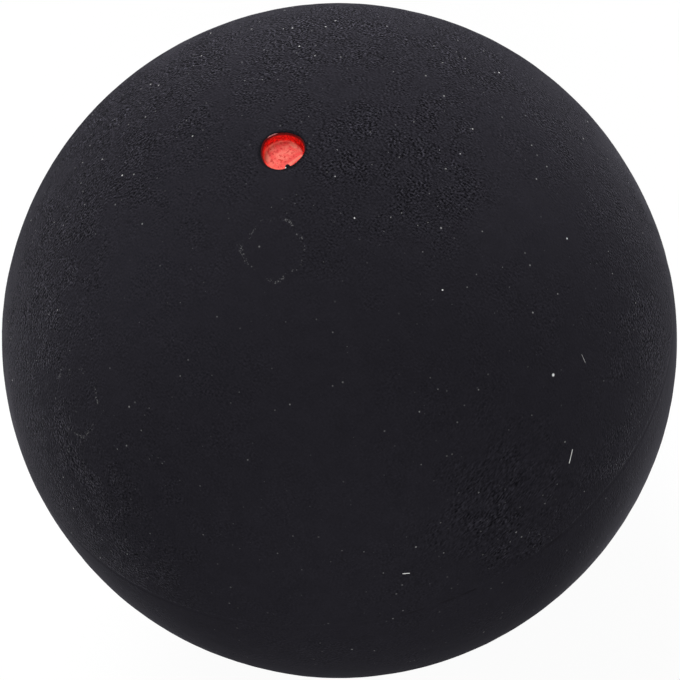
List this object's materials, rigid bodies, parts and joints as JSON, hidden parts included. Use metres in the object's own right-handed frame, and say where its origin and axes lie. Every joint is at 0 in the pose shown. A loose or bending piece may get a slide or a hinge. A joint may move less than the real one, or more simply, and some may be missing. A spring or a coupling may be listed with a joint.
{
  "type": "squash ball",
  "caption": "Hollow rubber squash ball: two thick half-shells cemented rim to rim, with a small recessed red speed dot at one pole.",
  "frame": {"origin": "centre of the ball", "axes": "+Z out through the middle of the speed dot; the seam between the half-shells lies in the XY plane"},
  "size_m": [0.04, 0.04, 0.04],
  "materials": {
    "dot_shell_rubber": "matte, buffed",
    "plain_shell_rubber": "matte, buffed",
    "cement": "dull, cured rubber cement",
    "dot_paint": "matte flexible paint"
  },
  "bodies": {
    "root": {"dot_half_shell": "dot_shell_rubber", "plain_half_shell": "plain_shell_rubber", "seam_cement": "cement", "dot_paint": "dot_paint"}
  },
  "joints": []
}
